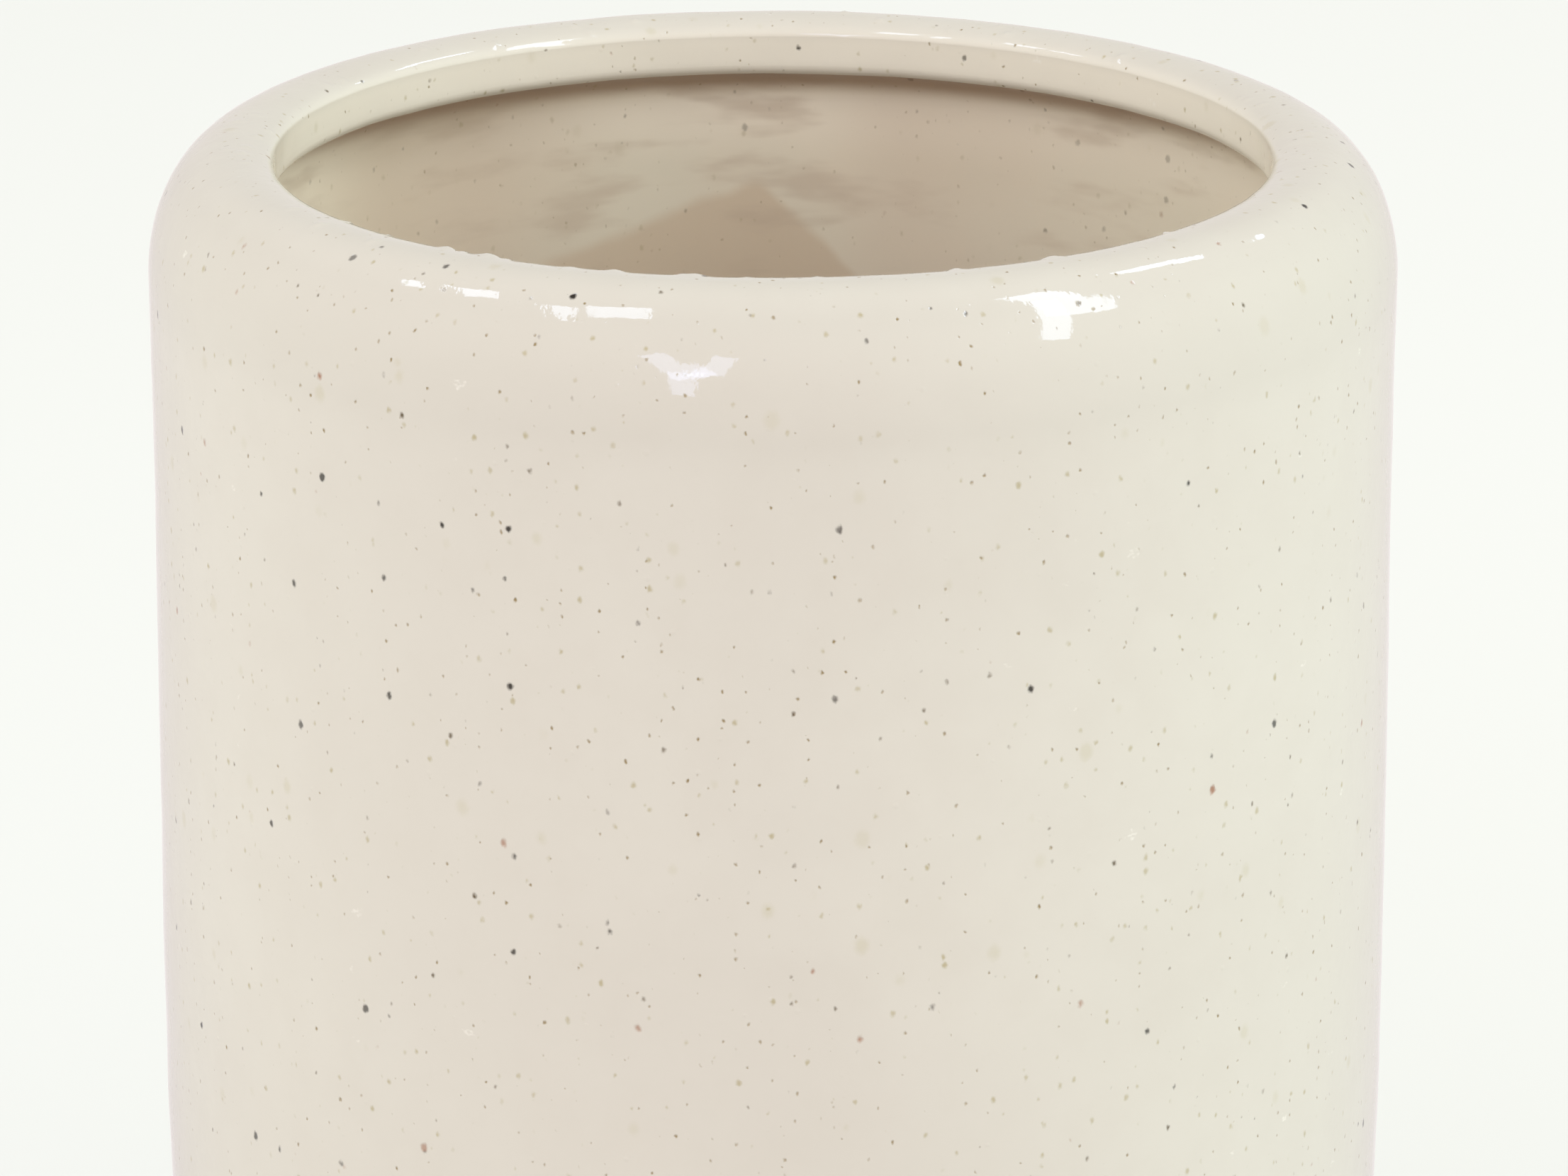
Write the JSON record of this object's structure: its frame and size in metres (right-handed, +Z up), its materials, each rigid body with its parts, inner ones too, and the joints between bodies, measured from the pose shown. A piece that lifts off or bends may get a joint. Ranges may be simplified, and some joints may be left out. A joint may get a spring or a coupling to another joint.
{
  "type": "vase",
  "caption": "Short wide cylindrical stoneware vase with a rounded shoulder, a thick turned-in lip, speckled cream glaze and a bare clay foot.",
  "frame": {"origin": "on the vase's axis, on the plane that the foot ring stands on", "axes": "+Z up along the axis, out of the mouth; +X to the right and +Y away when seen from the front"},
  "size_m": [0.132, 0.132, 0.2],
  "materials": {
    "outer_glaze": "glossy speckled cream glaze",
    "inner_glaze": "glossy cream glaze, thinner and warmer",
    "clay": "bare fired stoneware, matt and gritty",
    "slip": "fired joining slip, matt"
  },
  "bodies": {
    "root": {"outer_glaze": "outer_glaze", "inner_glaze": "inner_glaze", "lip_ring": "clay", "lip_joint_slip": "slip", "wall": "clay", "floor_joint_slip": "slip", "corner_coil": "slip", "floor_slab": "clay", "foot_ring": "clay"}
  },
  "joints": []
}
